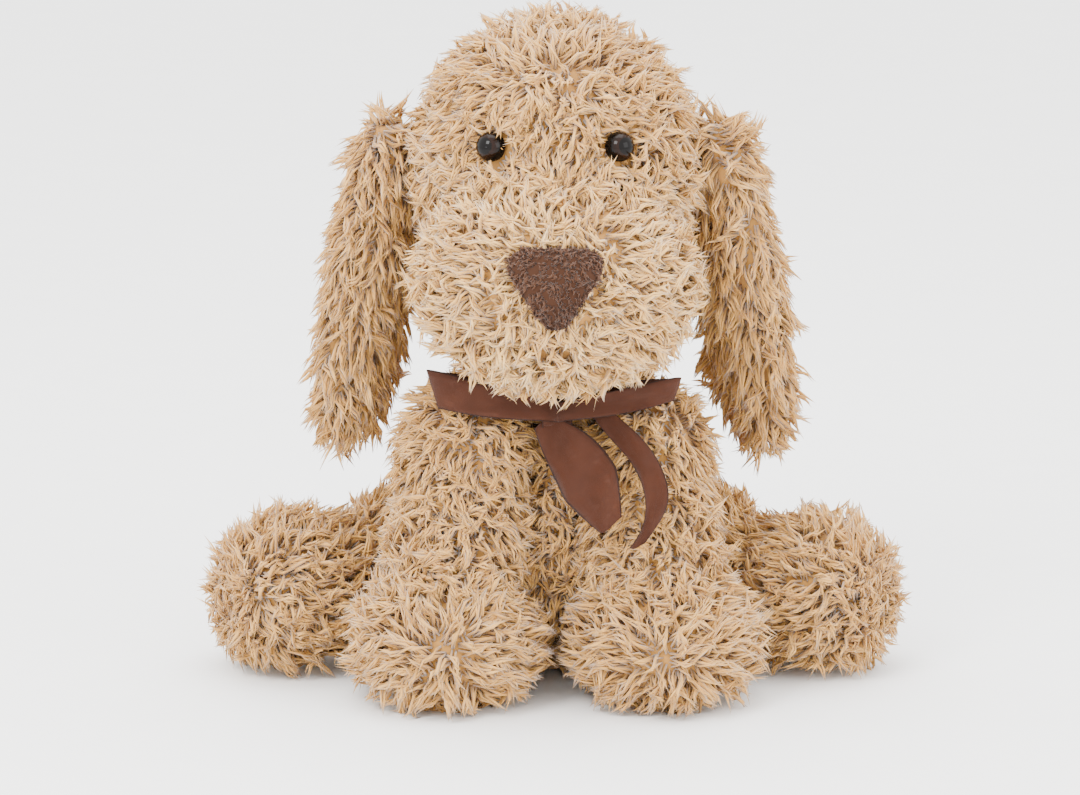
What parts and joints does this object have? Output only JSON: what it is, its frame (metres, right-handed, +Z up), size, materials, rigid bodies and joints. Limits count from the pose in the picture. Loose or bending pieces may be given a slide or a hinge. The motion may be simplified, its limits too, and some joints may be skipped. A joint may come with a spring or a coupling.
{
  "type": "plush dog",
  "caption": "Sitting curly-haired plush dog with long hanging ears, button eyes, a stitched nose and a sheer ribbon bow.",
  "frame": {"origin": "on the surface that it sits on, under the middle of its bounding box", "axes": "+Z up, -Y the way that the dog faces, +X the dog's own left"},
  "size_m": [0.305, 0.1991, 0.295],
  "materials": {
    "pile_fabric": "matte",
    "short_pile": "matte",
    "nose_pile": "matte",
    "ribbon_fabric": "satin",
    "label_satin": "satin",
    "bag_cloth": "matte",
    "fibre_filling": "matte",
    "eye_plastic": "gloss",
    "washer_plastic": "matte"
  },
  "bodies": {
    "torso": {"torso_skin": "pile_fabric", "torso_stuffing": "fibre_filling", "pellet_bag": "bag_cloth", "care_label": "label_satin", "ribbon_band": "ribbon_fabric", "ribbon_knot": "ribbon_fabric", "ribbon_loop_left": "ribbon_fabric", "ribbon_loop_right": "ribbon_fabric"},
    "neck": {"neck_stuffing": "fibre_filling"},
    "head": {"head_skin": "pile_fabric", "muzzle_skin": "pile_fabric", "head_stuffing": "fibre_filling", "nose_patch": "nose_pile", "eye_left": "eye_plastic", "eye_right": "eye_plastic", "eye_washer_left": "washer_plastic", "eye_washer_right": "washer_plastic"},
    "ear_left": {"ear_outer_left": "pile_fabric", "ear_lining_left": "pile_fabric"},
    "ear_right": {"ear_outer_right": "pile_fabric", "ear_lining_right": "pile_fabric"},
    "front_leg_left": {"front_leg_skin_left": "pile_fabric", "front_leg_stuffing_left": "fibre_filling", "front_sole_left": "short_pile"},
    "front_leg_right": {"front_leg_skin_right": "pile_fabric", "front_leg_stuffing_right": "fibre_filling", "front_sole_right": "short_pile"},
    "hind_leg_left": {"hind_leg_skin_left": "pile_fabric", "hind_leg_stuffing_left": "fibre_filling", "hind_sole_left": "short_pile"},
    "hind_leg_right": {"hind_leg_skin_right": "pile_fabric", "hind_leg_stuffing_right": "fibre_filling", "hind_sole_right": "short_pile"},
    "tail": {"tail_skin": "pile_fabric", "tail_stuffing": "fibre_filling"},
    "ribbon_tails": {"ribbon_tail_wide": "ribbon_fabric", "ribbon_tail_narrow": "ribbon_fabric"}
  },
  "joints": [
    {"name": "head_turn", "type": "hinge", "parent": "torso", "child": "neck", "pos_m": [0, 0.008, 0.152], "axis": [0, 0, 1], "range_deg": [-18, 18], "stiffness_Nm_per_rad": 0.25},
    {"name": "head_nod", "type": "hinge", "parent": "neck", "child": "head", "pos_m": [0, 0.008, 0.152], "axis": [-1, 0, 0], "range_deg": [0, 15], "stiffness_Nm_per_rad": 1.2, "springref_deg": 1.72},
    {"name": "ear_left_swing", "type": "hinge", "parent": "head", "child": "ear_left", "pos_m": [0.068, 0.003, 0.252], "axis": [0.4226, -0.9063, 0], "range_deg": [0, 95]},
    {"name": "ear_right_swing", "type": "hinge", "parent": "head", "child": "ear_right", "pos_m": [-0.068, 0.003, 0.252], "axis": [0.4226, 0.9063, 0], "range_deg": [0, 95]},
    {"name": "front_leg_left_swing", "type": "hinge", "parent": "torso", "child": "front_leg_left", "pos_m": [0.038, -0.02, 0.105], "axis": [-1, 0, 0], "range_deg": [0, 30], "stiffness_Nm_per_rad": 0.12},
    {"name": "front_leg_right_swing", "type": "hinge", "parent": "torso", "child": "front_leg_right", "pos_m": [-0.038, -0.02, 0.105], "axis": [-1, 0, 0], "range_deg": [0, 30], "stiffness_Nm_per_rad": 0.12},
    {"name": "hind_leg_left_swing", "type": "hinge", "parent": "torso", "child": "hind_leg_left", "pos_m": [0.058, 0.034, 0.039], "axis": [0, 0, 1], "range_deg": [0, 40], "stiffness_Nm_per_rad": 0.12},
    {"name": "hind_leg_right_swing", "type": "hinge", "parent": "torso", "child": "hind_leg_right", "pos_m": [-0.058, 0.034, 0.039], "axis": [0, 0, -1], "range_deg": [0, 40], "stiffness_Nm_per_rad": 0.12},
    {"name": "tail_wag", "type": "hinge", "parent": "torso", "child": "tail", "pos_m": [0, 0.079, 0.034], "axis": [0, 0, 1], "range_deg": [-25, 25], "stiffness_Nm_per_rad": 0.01},
    {"name": "ribbon_tails_lift", "type": "hinge", "parent": "torso", "child": "ribbon_tails", "pos_m": [0, -0.04728, 0.12406], "axis": [-1, 0, 0], "range_deg": [0, 34]}
  ],
  "couplings": [
    {"joint": "ribbon_tails_lift", "follows": "front_leg_left_swing", "ratio": 1}
  ]
}
